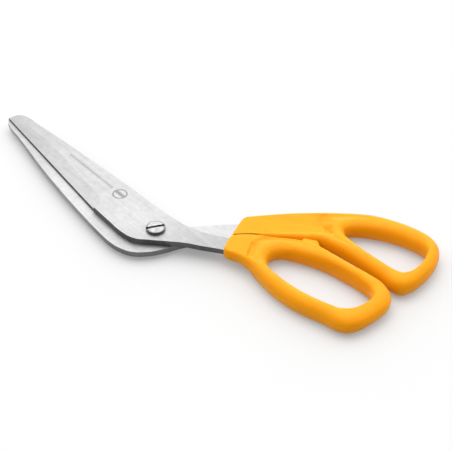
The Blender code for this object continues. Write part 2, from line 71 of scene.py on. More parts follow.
class Nodes:
    """A short way to write a material's node tree."""

    def __init__(self, name):
        self.material = bpy.data.materials.new(name)
        self.material.use_nodes = True
        self.tree = self.material.node_tree
        self.shader = self.tree.nodes["Principled BSDF"]
        self.place = self.add("ShaderNodeTexCoord").outputs["Object"]

    def add(self, kind, settings=None, **inputs):
        node = self.tree.nodes.new(kind)
        for key, value in (settings or {}).items():
            setattr(node, key, value)
        for key, value in inputs.items():
            self.set(node.inputs[key.replace("_", " ")], value)
        return node

    def set(self, socket, value):
        if isinstance(value, bpy.types.NodeSocket):
            self.tree.links.new(value, socket)
        else:
            socket.default_value = value

    def stretched(self, scale, angle=0.0):
        """The object's own coordinates, turned about Z and scaled."""
        turned = self.add("ShaderNodeMapping", Vector=self.place, Rotation=(0.0, 0.0, angle))
        return self.add("ShaderNodeMapping", Vector=turned.outputs[0], Scale=scale).outputs[0]

    def noise(self, scale, where=None, detail=2.0, roughness=0.5):
        node = self.add("ShaderNodeTexNoise", Scale=scale, Detail=detail, Roughness=roughness)
        self.set(node.inputs["Vector"], where or self.place)
        return node.outputs["Fac"]

    def ramp(self, value, low, high, to_low, to_high):
        node = self.add("ShaderNodeMapRange", From_Min=low, From_Max=high, To_Min=to_low, To_Max=to_high)
        self.set(node.inputs["Value"], value)
        return node.outputs["Result"]

    def math(self, operation, first, second=0.0):
        node = self.add("ShaderNodeMath", {"operation": operation})
        self.set(node.inputs[0], first)
        self.set(node.inputs[1], second)
        return node.outputs[0]

    def blend(self, share, first, second):
        node = self.add("ShaderNodeMix", {"data_type": "RGBA"})
        for socket, value in ((node.inputs[0], share), (node.inputs[6], first), (node.inputs[7], second)):
            self.set(socket, (*value, 1.0) if isinstance(value, tuple) else value)
        return node.outputs[2]

    def bump(self, height, distance, strength=1.0, under=None):
        node = self.add("ShaderNodeBump", Height=height, Distance=distance, Strength=strength)
        if under is not None:
            self.set(node.inputs["Normal"], under)
        return node.outputs["Normal"]

    def surface(self, **inputs):
        for key, value in inputs.items():
            self.set(self.shader.inputs[key.replace("_", " ")], value)
        return self.material


def plastic_material():
    """Moulded yellow plastic: semi-gloss, slightly translucent, with a fine spark-eroded grain."""
    n = Nodes("yellow_plastic")
    cloud = n.noise(45.0, detail=3.0)
    speck = n.noise(900.0, detail=1.0)
    colour = n.blend(n.ramp(cloud, 0.3, 0.7, 0.0, 1.0), (0.655, 0.25, 0.001), (0.705, 0.268, 0.002))
    colour = n.blend(n.ramp(speck, 0.62, 0.8, 0.0, 0.25), colour, (0.74, 0.30, 0.004))
    grain = n.bump(n.noise(2600.0, detail=2.0), 0.00002, 0.5)
    flow = n.bump(n.noise(60.0, detail=1.0), 0.0006, 0.15, under=grain)
    rough = n.math("ADD", n.ramp(cloud, 0.3, 0.7, 0.31, 0.39), n.ramp(speck, 0.3, 0.7, -0.02, 0.02))
    return n.surface(
        Base_Color=colour,
        Roughness=rough,
        Normal=flow,
        IOR=1.45,
        Specular_IOR_Level=0.12,
        Subsurface_Weight=0.5,
        Subsurface_Radius=(1.0, 0.25, 0.03),
        Subsurface_Scale=0.004,
    )


# The steel's tone changes slowly along the blades and between their faces. These changes are painted shade,
# darker towards the tips, at the necks and on the wide grind, matched to the photograph. Lengths are in
# millimetres.
STREAK_ANGLE = math.radians(-3.0)
TIP_PAINTED_SHADE = 0.86
TIP_PAINTED_SHADE_FROM, TIP_PAINTED_SHADE_TO = 60.0, 135.0
NECK_PAINTED_SHADE_FROM, NECK_PAINTED_SHADE_TO = -30.0, 10.0
GRIND_NORMAL, FLAT_NORMAL = 0.97, 0.99  # how far the ground and the flat faces' normals rise
MARK_SHADE = 0.62


def steel_face_material(name, base_level, neck_painted_shade, grind_painted_shade, marked):
    """Satin stainless steel with fine grinding lines, faint smudges, painted shade at the tips, necks and
    wide grind, and, on one blade, an etched mark.
    """
    n = Nodes(name)
    lines = n.noise(1.0, n.stretched((60.0, 5200.0, 300.0), STREAK_ANGLE), detail=3.0, roughness=0.65)
    broad = n.noise(1.0, n.stretched((25.0, 900.0, 80.0), STREAK_ANGLE), detail=2.0)
    mottle = n.noise(260.0, detail=4.0, roughness=0.7)
    smudge = n.noise(32.0, detail=3.0)
    tone = n.math("ADD", n.ramp(lines, 0.3, 0.7, -0.035, 0.035), n.ramp(broad, 0.3, 0.7, -0.02, 0.02))
    tone = n.math("ADD", tone, n.ramp(mottle, 0.3, 0.7, -0.03, 0.03))
    lengthways = n.add("ShaderNodeSeparateXYZ", Vector=n.place).outputs[0]
    # Painted shade: the steel is darker towards the tips and at the necks beside the handles.
    shade = n.math(
        "MULTIPLY",
        n.ramp(lengthways, TIP_PAINTED_SHADE_FROM * MM, TIP_PAINTED_SHADE_TO * MM, 1.0, TIP_PAINTED_SHADE),
        n.ramp(lengthways, NECK_PAINTED_SHADE_FROM * MM, NECK_PAINTED_SHADE_TO * MM, neck_painted_shade, 1.0),
    )
    facing = n.add("ShaderNodeNewGeometry").outputs["True Normal"]
    upright = n.math("ABSOLUTE", n.add("ShaderNodeSeparateXYZ", Vector=facing).outputs[2])
    # Painted shade on the wide grind, which is told from the flat faces by how far its normal rises.
    shade = n.math("MULTIPLY", shade, n.ramp(upright, GRIND_NORMAL, FLAT_NORMAL, grind_painted_shade, 1.0))
    level = n.math("MULTIPLY", n.math("ADD", tone, base_level), shade)
    rough = n.math("ADD", n.ramp(lines, 0.3, 0.7, 0.44, 0.54), n.ramp(smudge, 0.35, 0.65, -0.03, 0.05))
    if marked:
        mark = etched_mark(n)
        level = n.math("MULTIPLY", level, n.ramp(mark, 0.0, 1.0, 1.0, MARK_SHADE))
        rough = n.math("ADD", rough, n.ramp(mark, 0.0, 1.0, 0.0, 0.15))
    colour = n.add("ShaderNodeCombineColor", Red=level, Green=level, Blue=n.math("MULTIPLY", level, 1.01))
    fine = n.bump(lines, 0.00003, 0.35)
    return n.surface(Base_Color=colour.outputs[0], Metallic=1.0, Roughness=rough, Normal=fine)


MARK_AT = (37.5, -1.5)
MARK_R = 4.4
BAR_START = (44.5, -1.3)
BAR_END = (84.5, 1.1)
BAR_HALF = 0.75
BAR_FADE = 0.55  # the bar is etched more faintly than the ring
RING_HALF = 0.45
STRIPE_HALF = 1.1
MARK_SOFT = 0.12


def etched_mark(n):
    """A plain ring with a bar across it, and one plain bar beside it. It is 1 where the steel is etched."""
    here = n.add("ShaderNodeSeparateXYZ", Vector=n.place)
    x, y = here.outputs[0], here.outputs[1]

    def inside(distance, half):
        return n.ramp(distance, (half - MARK_SOFT) * MM, (half + MARK_SOFT) * MM, 1.0, 0.0)

    def across(start, angle):
        """How far a point lies along and across a line."""
        along_x = n.math("SUBTRACT", x, start[0] * MM)
        along_y = n.math("SUBTRACT", y, start[1] * MM)
        c, s = math.cos(angle), math.sin(angle)
        forward = n.math("ADD", n.math("MULTIPLY", along_x, c), n.math("MULTIPLY", along_y, s))
        sideways = n.math("SUBTRACT", n.math("MULTIPLY", along_y, c), n.math("MULTIPLY", along_x, s))
        return forward, sideways

    angle = math.atan2(BAR_END[1] - BAR_START[1], BAR_END[0] - BAR_START[0])
    forward, sideways = across(MARK_AT, angle)
    radius = n.math("SQRT", n.math("ADD", n.math("POWER", forward, 2.0), n.math("POWER", sideways, 2.0)))
    ring = inside(n.math("ABSOLUTE", n.math("SUBTRACT", radius, (MARK_R - RING_HALF) * MM)), RING_HALF)
    stripe = inside(n.math("ABSOLUTE", sideways), STRIPE_HALF)
    stripe = n.math("MULTIPLY", stripe, inside(radius, MARK_R - 0.4))
    forward, sideways = across(BAR_START, angle)
    length = math.dist(BAR_START, BAR_END)
    centred = n.math("ABSOLUTE", n.math("SUBTRACT", forward, length / 2 * MM))
    bar = n.math("MULTIPLY", inside(centred, length / 2), inside(n.math("ABSOLUTE", sideways), BAR_HALF))
    faded = n.math("MULTIPLY", bar, BAR_FADE)
    etched = n.math("MAXIMUM", n.math("MAXIMUM", ring, stripe), faded)
    above = n.ramp(here.outputs[2], (UPPER_TOP - 0.3) * MM, (UPPER_TOP - 0.2) * MM, 0.0, 1.0)
    worn = n.ramp(n.noise(700.0, detail=2.0), 0.25, 0.55, 0.75, 1.0)
    return n.math("MULTIPLY", n.math("MULTIPLY", etched, above), worn)


PAINTED_GAIN_FROM, PAINTED_GAIN_TO = 10.0, 40.0


def steel_wall_material(name, tone, painted_light_gain):
    """The blanked sides of the blades: dull, drawn in short lines through the thickness, and dark, partly as
    the steel's own tone and partly as painted shade.

    Along the blade the tone rises by the given gain from that round the pivot: painted light, matched to the
    photograph.
    """
    n = Nodes(name)
    drawn = n.noise(1.0, n.stretched((1500.0, 1500.0, 120.0)), detail=2.0)
    patch = n.noise(120.0, detail=3.0)
    lines = n.ramp(drawn, 0.3, 0.7, tone * 0.85, tone * 1.1)
    level = n.math("ADD", lines, n.ramp(patch, 0.3, 0.7, -0.02, 0.02))
    lengthways = n.add("ShaderNodeSeparateXYZ", Vector=n.place).outputs[0]
    # Painted light: along the blade the wall's tone rises by the given gain.
    level = n.math("MULTIPLY", level, n.ramp(lengthways, PAINTED_GAIN_FROM * MM, PAINTED_GAIN_TO * MM, 1.0, painted_light_gain))
    colour = n.add("ShaderNodeCombineColor", Red=level, Green=level, Blue=level)
    grooves = n.bump(drawn, 0.00004, 0.4)
    return n.surface(Base_Color=colour.outputs[0], Metallic=0.85, Roughness=0.46, Normal=grooves)


RIM_SHADE, SLOT_SHADE = 0.55, 0.5
RIM_FROM, RIM_TO = HEAD_R - 1.3, HEAD_R - 0.7
SLOT_DEEP, SLOT_LIP = SCREW_TOP - 0.85, SCREW_TOP + 0.15


def bright_material():
    """Polished steel with faint turned rings round the pivot axis, hazy patches in its roughness and painted
    reflections as light and dark patches in its colour.

    The head's rim, its side and its slot are toned down. That stands in for the dark surroundings which the
    real head reflects, and which this plain studio doesn't have.
    """
    n = Nodes("bright_steel")
    here = n.add("ShaderNodeSeparateXYZ", Vector=n.place)
    flat = n.add("ShaderNodeCombineXYZ", X=here.outputs[0], Y=here.outputs[1])
    radius = n.add("ShaderNodeVectorMath", {"operation": "LENGTH"}, Vector=flat.outputs[0])
    across = n.add("ShaderNodeCombineXYZ", X=radius.outputs["Value"], Y=here.outputs[2])
    rings = n.noise(5200.0, across.outputs[0], detail=2.0)
    haze_and_painted_reflection = n.noise(320.0, detail=3.0)
    # Painted reflection: light and dark patches in the steel's colour.
    level = n.ramp(haze_and_painted_reflection, 0.35, 0.65, 0.34, 0.5)
    rim = n.ramp(radius.outputs["Value"], RIM_FROM * MM, RIM_TO * MM, 1.0, RIM_SHADE)
    depth = n.ramp(here.outputs[2], SLOT_DEEP * MM, SLOT_LIP * MM, SLOT_SHADE, 1.0)
    level = n.math("MULTIPLY", n.math("MULTIPLY", level, rim), depth)
    colour = n.add("ShaderNodeCombineColor", Red=level, Green=level, Blue=level)
    rough = n.math("ADD", n.ramp(rings, 0.3, 0.7, 0.08, 0.13), n.ramp(haze_and_painted_reflection, 0.4, 0.7, 0.0, 0.06))
    fine = n.bump(rings, 0.00001, 0.25)
    return n.surface(Base_Color=colour.outputs[0], Metallic=1.0, Roughness=rough, Normal=fine)


def zinc_material():
    """Plain plated hardware under the blades."""
    n = Nodes("plated_steel")
    crystal = n.noise(1400.0, detail=3.0)
    patch = n.noise(150.0, detail=2.0)
    level = n.math("ADD", n.ramp(crystal, 0.3, 0.7, 0.55, 0.68), n.ramp(patch, 0.3, 0.7, -0.04, 0.04))
    colour = n.add("ShaderNodeCombineColor", Red=level, Green=level, Blue=n.math("MULTIPLY", level, 1.03))
    return n.surface(
        Base_Color=colour.outputs[0],
        Metallic=1.0,
        Roughness=n.ramp(crystal, 0.3, 0.7, 0.24, 0.36),
        Normal=n.bump(crystal, 0.00003, 0.3),
    )


# --- shapes ---------------------------------------------------------------------------------------

shown = bpy.data.collections.new("shown")
hidden = bpy.data.collections.new("cutters")
bpy.context.scene.collection.children.link(shown)
bpy.context.scene.collection.children.link(hidden)


def evaluated_mesh(made):
    bpy.context.view_layer.update()
    evaluated = made.evaluated_get(bpy.context.evaluated_depsgraph_get())
    return bpy.data.meshes.new_from_object(evaluated)


def weld(mesh):
    work = bmesh.new()
    work.from_mesh(mesh)
    bmesh.ops.remove_doubles(work, verts=work.verts, dist=WELD)
    bmesh.ops.recalc_face_normals(work, faces=work.faces)
    work.to_mesh(mesh)
    work.free()


def new_object(name, mesh, holder=shown):
    made = bpy.data.objects.new(name, mesh)
    holder.objects.link(made)
    return made


def plate(name, outline, base, top, holder=hidden, resolution=16):
    """A flat mesh plate. The outline is (x, y, kind): kind 'r' is a round point and 'c' a corner."""
    curve = bpy.data.curves.new(name, "CURVE")
    curve.dimensions = "2D"
    curve.fill_mode = "BOTH"
    curve.resolution_u = resolution
    curve.extrude = (top - base) / 2 * MM
    spline = curve.splines.new("BEZIER")
    spline.bezier_points.add(len(outline) - 1)
    for point, (x, y, kind) in zip(spline.bezier_points, outline):
        point.co = (x * MM, y * MM, 0.0)
        side = "AUTO" if kind == "r" else "VECTOR"
        point.handle_left_type = side
        point.handle_right_type = side
    spline.use_cyclic_u = True
    drawn = new_object(name + "_outline", curve, hidden)
    drawn.location.z = (base + top) / 2 * MM
    mesh = evaluated_mesh(drawn)
    mesh.transform(drawn.matrix_world)
    bpy.data.objects.remove(drawn, do_unlink=True)
    weld(mesh)
    return new_object(name, mesh, holder)


def boolean(target, other, operation):
    step = target.modifiers.new(operation.lower(), "BOOLEAN")
    step.operation = operation
    step.object = other


def apply_all(made):
    """Fixes the modifiers' result as the mesh, and drops the cutters they used."""
    mesh = evaluated_mesh(made)
    used = [step.object for step in made.modifiers if step.type == "BOOLEAN"]
    made.modifiers.clear()
    made.data = mesh
    for cutter in used:
        bpy.data.objects.remove(cutter, do_unlink=True)
    return mesh


def soften(made, width, segments=2, angle=30.0):
    """Rounds the sharp edges."""
    rim = made.modifiers.new("rim", "BEVEL")
    rim.width = width * MM
    rim.segments = segments
    rim.limit_method = "ANGLE"
    rim.angle_limit = math.radians(angle)
    rim.use_clamp_overlap = True
    rim.harden_normals = False


def shade_round(mesh, angle=SHARP_ANGLE):
    mesh.shade_smooth()
    mesh.set_sharp_from_angle(angle=angle)


def cylinder(name, radius, centre, base, top, sides=96, holder=hidden):
    mesh = bpy.data.meshes.new(name)
    work = bmesh.new()
    bmesh.ops.create_cone(
        work, cap_ends=True, segments=sides, radius1=radius * MM, radius2=radius * MM, depth=(top - base) * MM
    )
    bmesh.ops.translate(work, verts=work.verts, vec=(centre[0] * MM, centre[1] * MM, (base + top) / 2 * MM))
    work.to_mesh(mesh)
    work.free()
    return new_object(name, mesh, holder)


TURN_STEPS = 144


def turned(name, profile, closed=False, holder=shown):
    """A solid of revolution. The profile is (radius, height), down its outer side, or closed for a ring."""
    mesh = bpy.data.meshes.new(name)
    work = bmesh.new()
    ring = [work.verts.new((radius * MM, 0.0, height * MM)) for radius, height in profile]
    for first, second in zip(ring, ring[1:] + ring[:1] if closed else ring[1:]):
        work.edges.new((first, second))
    work.to_mesh(mesh)
    work.free()
    made = new_object(name, mesh, holder)
    spin = made.modifiers.new("turn", "SCREW")
    spin.steps = TURN_STEPS
    spin.render_steps = TURN_STEPS
    spin.use_merge_vertices = True
    spin.merge_threshold = WELD / 10
    solid = evaluated_mesh(made)
    made.modifiers.clear()
    made.data = solid
    work = bmesh.new()
    work.from_mesh(solid)
    bmesh.ops.recalc_face_normals(work, faces=work.faces)
    work.to_mesh(solid)
    work.free()
    return made


# --- blades ---------------------------------------------------------------------------------------

EDGE_LAND = 0.9
EDGE_BEVEL = 0.3
GRIND_WIDTH = 7.8
TIP_STOCK = 2.2
TAPER_START = 92.0
EDGE_HEEL = (36.5, 17.0)
EDGE_TIP = (137.6, 9.9)
GRIND_HEEL = (38.0, 9.6)
GRIND_TIP = (137.0, 1.4)
TURN_OVER_Y = 7.4
SHANK_R = 3.0
FLARE_LENGTH = 2.5
UPPER_TANG = {"at": (-31.6, -22.9), "angle": 217.0, "width": 10.4, "length": 14.0, "flare": 0.0}
LOWER_TANG = {"at": (-23.9, -38.2), "angle": 236.0, "width": 10.7, "length": 40.0, "flare": 0.4}


def along(tang, distance, side=0.0):
    """A point in a tang: so far along its middle line, and so far to its left."""
    angle = math.radians(tang["angle"])
    x = tang["at"][0] + distance * math.cos(angle) - side * math.sin(angle)
    y = tang["at"][1] + distance * math.sin(angle) + side * math.cos(angle)
    return x, y


def tang_outline(tang):
    half = tang["width"] / 2
    return [
        (*along(tang, 0.0, -half - tang["flare"]), "r"),
        (*along(tang, FLARE_LENGTH, -half), "c"),
        (*along(tang, tang["length"], -half), "c"),
        (*along(tang, tang["length"], half), "c"),
        (*along(tang, FLARE_LENGTH, half), "c"),
        (*along(tang, 0.0, half), "r"),
    ]


UPPER_OUTLINE = [
    (*EDGE_TIP, "c"),
    (*EDGE_HEEL, "c"),
    (22.0, 16.9, "r"),
    (9.0, 16.5, "r"),
    (1.0, 14.2, "r"),
    (-6.0, 7.4, "r"),
    (-13.0, 0.0, "r"),
    (-19.0, -6.2, "r"),
    (-26.0, -11.6, "r"),
    *tang_outline(UPPER_TANG),
    (-19.0, -20.5, "r"),
    (-11.0, -16.7, "r"),
    (-2.0, -14.2, "r"),
    (10.0, -12.3, "r"),
    (40.0, -9.5, "r"),
    (80.0, -4.8, "r"),
    (120.0, 0.2, "r"),
    (130.6, 1.5, "r"),
    (134.3, 3.5, "r"),
    (136.4, 7.2, "r"),
]

LOWER_OUTLINE = [
    (EDGE_TIP[0], 2 * TURN_OVER_Y - EDGE_TIP[1], "c"),
    (138.1, 7.9, "r"),
    (136.6, 10.6, "r"),
    (132.4, 12.5, "r"),
    (120.0, 14.1, "r"),
    (80.0, 19.8, "r"),
    (40.0, 23.5, "r"),
    (20.0, 24.5, "r"),
    (10.0, 24.5, "r"),
    (2.2, 23.0, "r"),
    (-4.4, 19.6, "r"),
    (-9.7, 12.8, "r"),
    (-12.8, 5.0, "r"),
    (-15.6, -7.1, "r"),
    (-19.0, -16.0, "r"),
    (-24.6, -26.8, "r"),
    *tang_outline(LOWER_TANG),
    (-14.0, -33.0, "r"),
    (-8.9, -24.0, "r"),
    (-4.0, -17.0, "r"),
    (8.0, -10.5, "r"),
    (20.0, -5.6, "r"),
    (EDGE_HEEL[0], 2 * TURN_OVER_Y - EDGE_HEEL[1], "c"),
]

GRIND_FACE = [
    (16.0, -1.5, "r"),
    (130.0, -1.5, "c"),
    (130.0, 20.0, "c"),
    (-2.0, 20.0, "c"),
    (-2.0, 7.0, "c"),
    (-1.2, 3.4, "r"),
    (1.8, 1.0, "r"),
    (7.2, -0.8, "r"),
]
BEVEL_FACE = [(0.3, 0.0, "c"), (120.0, 0.0, "c"), (120.0, 4.0, "c"), (0.3, 4.0, "c")]
TAPER_FACE = [(-5.0, -40.0, "c"), (80.0, -40.0, "c"), (80.0, 40.0, "c"), (-5.0, 40.0, "c")]
CUTTER_DEPTH = 8.0
BEVEL_INSET = 0.05


def on_line(start, end, tilt, level):
    """A frame on the line from start to end, with X along it, turned about it by tilt."""
    heading = math.atan2(end[1] - start[1], end[0] - start[0])
    place = Matrix.Translation(Vector((start[0] * MM, start[1] * MM, level * MM)))
    return place @ Matrix.Rotation(heading, 4, "Z") @ Matrix.Rotation(tilt, 4, "X")


def blade_cutters(turned_over):
    """The wide grind, the thinning towards the tip and the edge bevel, for the upper blade or turned over."""
    grind = plate("grind", GRIND_FACE, 0.0, CUTTER_DEPTH)
    tilt = math.atan2(STOCK - EDGE_LAND, GRIND_WIDTH)
    grind.data.transform(on_line(GRIND_HEEL, GRIND_TIP, -tilt, UPPER_TOP))
    bevel = plate("bevel", BEVEL_FACE, -1.0, CUTTER_DEPTH)
    start, end = ((x, y - BEVEL_INSET) for x, y in (EDGE_HEEL, EDGE_TIP))
    bevel.data.transform(on_line(start, end, math.atan2(EDGE_BEVEL, EDGE_LAND), UPPER_BASE))
    taper = plate("taper", TAPER_FACE, 0.0, CUTTER_DEPTH)
    slope = math.atan2(STOCK - TIP_STOCK, EDGE_TIP[0] - TAPER_START)
    start_of_taper = Matrix.Translation(Vector((TAPER_START * MM, 0.0, UPPER_TOP * MM)))
    taper.data.transform(start_of_taper @ Matrix.Rotation(slope, 4, "Y"))
    cutters = [grind, taper, bevel]
    if turned_over:
        axis = Matrix.Translation(Vector((0.0, TURN_OVER_Y * MM, MIDDLE * MM)))
        flip = axis @ Matrix.Rotation(math.pi, 4, "X") @ axis.inverted()
        for cutter in cutters:
            cutter.data.transform(flip)
    return cutters


WALL_NORMAL = 0.55  # faces whose normal rises less than this are sides of a blade
GRIND_END_NORMAL = 0.3  # the end of the wide grind faces the tip at least this much
GRIND_END_REACH = 5.0  # and lies this close to the grind's start
BLADE_SOFTENING = 0.14


def blade(name, outline, base, turned_over, body, face, wall):
    made = plate(name, outline, base, base + STOCK, shown)
    for cutter in blade_cutters(turned_over):
        boolean(made, cutter, "DIFFERENCE")
    boolean(made, cylinder("bore", SHANK_R + GAP, (0.0, 0.0), base - 2, base + STOCK + 2), "DIFFERENCE")
    apply_all(made)
    soften(made, BLADE_SOFTENING)
    mesh = apply_all(made)
    mesh.materials.append(face)
    mesh.materials.append(wall)
    shade_round(mesh)
    for side in mesh.polygons:
        side.use_smooth = abs(side.normal.z) < WALL_NORMAL
        near_heel = abs(side.center.x - GRIND_HEEL[0] * MM) < GRIND_END_REACH * MM
        grind_end = side.normal.x > GRIND_END_NORMAL and near_heel
        side.material_index = int(side.use_smooth and not grind_end)
    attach(made, body)
    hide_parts(name.removesuffix("_steel"))


# --- handles --------------------------------------------------------------------------------------

NECK_HALF = 3.6
FINGER_NECK = UPPER_BASE + STOCK / 2
THUMB_NECK = LOWER_TOP - STOCK / 2 + 0.6
THUMB_NECK_HALF = 4.2
STATION_SPACING = 1.1
QUARTER_STEPS = 11
VALLEY_STEPS = 10
FLAT_STEPS = 8
LEAST_FLAT = 0.4
SQUARENESS = 2.15
SEAM_RISE = 0.07  # the parting line stands out of the outer side by this much
SEAM_HALF = 0.14
DIP_PEAK = 27 / 4  # scales t * t * (1 - t), so that the dip is deepest at the depth given
POCKET_LEAD = 14.0
POCKET_SPLAY = 2.0
PLASTIC_SHARP = math.radians(38.0)


def smooth_point(points, at):
    """The point at a fractional index of a closed centripetal Catmull-Rom curve."""
    index = math.floor(at)
    before, start, end, after = (np.array(points[(index + step) % len(points)]) for step in (-1, 0, 1, 2))
    gap_before = math.sqrt(np.linalg.norm(start - before))
    gap = math.sqrt(np.linalg.norm(end - start))
    gap_after = math.sqrt(np.linalg.norm(after - end))
    slope = (end - start) / gap
    leave = gap * ((start - before) / gap_before - (end - before) / (gap_before + gap) + slope)
    arrive = gap * (slope - (after - start) / (gap + gap_after) + (after - end) / gap_after)
    t = at - index
    return (
        (2 * t**3 - 3 * t**2 + 1) * start
        + (t**3 - 2 * t**2 + t) * leave
        + (3 * t**2 - 2 * t**3) * end
        + (t**3 - t**2) * arrive
    )


def right_normal(points, at):
    """The unit normal on the right of the curve: out of an outline that runs anticlockwise."""
    step = 0.02
    ahead = smooth_point(points, at + step) - smooth_point(points, at - step)
    ahead /= np.linalg.norm(ahead)
    return np.array((ahead[1], -ahead[0]))


def section_at(sections, at, outer_count, hole_count):
    """The section's values at a fractional outer index, eased between the listed sections."""
    first = sections[0]
    closing = (first[0] + outer_count, first[1] + hole_count, *first[2:])
    for start, end in zip(sections, [*sections[1:], closing]):
        if start[0] <= at <= end[0]:
            share = (at - start[0]) / (end[0] - start[0])
            eased = share * share * (3 - 2 * share)
            hole_at = start[1] + share * (end[1] - start[1])
            return [hole_at] + [a + eased * (b - a) for a, b in zip(start[2:], end[2:])]
    raise ValueError("no section at this index")


def quarter(step):
    """How far in and how far up a rounded quarter of a section is, from 0 to 1."""
    turn = math.pi / 2 * step / QUARTER_STEPS
    return 1 - abs(math.cos(turn)) ** (2 / SQUARENESS), math.sin(turn) ** (2 / SQUARENESS)


def section_ring(outer, hole, sections, at):
    """The closed section from the hole over the top to the outside and back underneath, as 3-D points.

    It rounds over from the hole to a ridge, dips, meets the flat top in a crease and rounds over outside.
    """
    row = section_at(sections, at, len(outer), len(hole))
    hole_at, edge, bowl, level, half, ridge, dip, valley = row
    outside = smooth_point(outer, at)
    outward = right_normal(outer, at)
    inside = smooth_point(hole, hole_at)
    shoulder = outside - edge * outward
    span = np.linalg.norm(shoulder - inside)
    across = (shoulder - inside) / span
    bowl = min(bowl, span - LEAST_FLAT)
    fit = min(1.0, (span - bowl) / valley)
    valley *= fit
    dip *= fit
    top = []
    for step in range(QUARTER_STEPS + 1):
        reach, rise = quarter(step)
        top.append((*(inside + bowl * reach * across), MIDDLE, ridge * rise))
    for step in range(1, VALLEY_STEPS + FLAT_STEPS):
        share = min(1.0, step / VALLEY_STEPS)
        beyond = max(0.0, (step - VALLEY_STEPS) / FLAT_STEPS)
        plan = inside + (bowl + share * valley + beyond * (span - bowl - valley)) * across
        eased = share * share * (3 - 2 * share)
        low = dip * DIP_PEAK * share * share * (1 - share)
        top.append((*plan, MIDDLE + eased * (level - MIDDLE), ridge + eased * (half - ridge) - low))
    for step in range(QUARTER_STEPS, 0, -1):
        reach, rise = quarter(step)
        top.append((*(outside - edge * reach * outward), level, half * rise))
    top.append((*outside, level, SEAM_HALF * 2))
    top.append((*(outside + SEAM_RISE * outward), level, SEAM_HALF))
    above = [(x, y, middle + rise) for x, y, middle, rise in top]
    below = [(x, y, middle - rise) for x, y, middle, rise in top[:0:-1]]
    return above + below


def stations(outer):
    """Fractional outer indices, about STATION_SPACING apart along the outline."""
    places = []
    for index, start in enumerate(outer):
        end = outer[(index + 1) % len(outer)]
        steps = max(2, round(math.dist(start, end) / STATION_SPACING))
        places += [index + step / steps for step in range(steps)]
    return places


FINGER_OUTER = [
    (-40.0, -19.6), (-46.3, -22.6), (-53.0, -24.0), (-60.2, -23.6), (-75.0, -22.7), (-89.5, -24.1),
    (-100.0, -27.0), (-111.2, -31.0), (-120.0, -33.2), (-125.4, -36.9), (-127.8, -44.0), (-127.2, -55.1),
    (-124.8, -65.0), (-119.0, -71.8), (-110.6, -74.0), (-101.5, -72.6), (-88.4, -69.8), (-75.4, -67.0),
    (-65.7, -64.9), (-58.6, -61.8), (-50.6, -54.4), (-43.8, -47.3), (-35.7, -39.6), (-30.3, -31.4),
    (-30.0, -29.7), (-30.5, -28.0), (-36.2, -20.3), (-37.7, -19.4),
]

FINGER_HOLE = [
    (-54.6, -39.2), (-56.3, -35.6), (-61.0, -32.6), (-68.0, -31.5), (-78.0, -31.9), (-90.0, -34.0),
    (-101.5, -37.2), (-111.7, -41.8), (-116.9, -47.4), (-118.0, -53.6), (-115.9, -60.5), (-110.7, -63.7),
    (-99.4, -63.3), (-88.7, -61.4), (-77.9, -58.3), (-67.0, -53.0), (-58.9, -47.6), (-55.4, -43.1),
]

THUMB_OUTER = [
    (-29.9, -32.1), (-34.85, -40.3), (-42.05, -48.6), (-48.7, -55.95), (-53.3, -60.4), (-62.0, -67.3),
    (-75.0, -71.8), (-90.0, -74.3), (-104.0, -76.2), (-113.8, -77.1), (-118.5, -79.9), (-119.9, -86.4),
    (-118.3, -95.6), (-114.8, -104.8), (-109.6, -112.8), (-103.6, -117.9), (-96.2, -119.4), (-86.0, -117.4),
    (-74.5, -112.8), (-62.6, -105.7), (-53.7, -97.4), (-45.2, -87.6), (-35.0, -74.9), (-26.2, -60.8),
    (-20.4, -50.5), (-19.0, -47.5), (-19.5, -44.9), (-27.4, -31.8), (-28.7, -30.9),
]

THUMB_HOLE = [
    (-62.8, -84.6), (-65.4, -82.7), (-70.5, -82.1), (-80.0, -82.5), (-91.0, -83.3), (-101.5, -84.9),
    (-108.9, -87.2), (-112.1, -91.5), (-111.5, -97.2), (-108.5, -104.2), (-105.0, -108.6), (-99.3, -109.6),
    (-91.0, -107.6), (-82.0, -103.8), (-72.6, -97.5), (-66.1, -91.4), (-63.2, -87.3),
]

# Each row: outer point, hole point, outer rounding, hole rounding, level and half depth outside, half depth
# at the ridge round the hole, and the depth and width of the dip beyond it, up to the crease.
FINGER_SECTIONS = [
    (0.0, 0.3, 1.6, 6.5, FINGER_NECK, NECK_HALF, 5.4, 1.6, 5.8),
    (1.0, 0.7, 2.0, 6.3, FINGER_NECK, NECK_HALF, 5.5, 1.5, 5.5),
    (2.0, 1.2, 2.8, 6.0, MIDDLE + 1.0, 4.5, 5.6, 1.0, 6.5),
    (3.0, 2.0, 3.8, 5.4, MIDDLE, 5.8, 5.8, 0.3, 7.0),
    (4.0, 3.8, 4.6, 5.0, MIDDLE, LOOP_HALF, LOOP_HALF, 0.0, 7.0),
    (7.0, 6.8, 5.0, 5.0, MIDDLE, LOOP_HALF, LOOP_HALF, 0.0, 7.0),
    (9.0, 7.7, 6.8, 3.0, MIDDLE, 5.9, 5.9, 0.0, 7.0),
    (11.0, 9.5, 7.4, 2.4, MIDDLE, 5.6, 5.6, 0.0, 7.0),
    (13.0, 10.6, 6.8, 3.0, MIDDLE, 5.9, 5.9, 0.0, 7.0),
    (15.0, 12.0, 5.0, 5.0, MIDDLE, LOOP_HALF, LOOP_HALF, 0.0, 7.0),
    (17.0, 14.2, 4.6, 5.0, MIDDLE, LOOP_HALF, LOOP_HALF, 0.0, 7.0),
    (19.0, 15.8, 3.6, 5.4, MIDDLE, 5.8, 5.8, 0.2, 6.5),
    (20.0, 16.5, 2.4, 6.0, MIDDLE + 1.0, 4.5, 5.6, 0.5, 6.5),
    (22.0, 17.3, 1.6, 6.3, FINGER_NECK, NECK_HALF, 5.5, 0.8, 7.6),
    (24.0, 17.6, 1.6, 6.4, FINGER_NECK, NECK_HALF, 5.5, 1.3, 7.8),
    (26.0, 18.0, 1.6, 6.5, FINGER_NECK, NECK_HALF, 5.4, 1.6, 6.2),
]

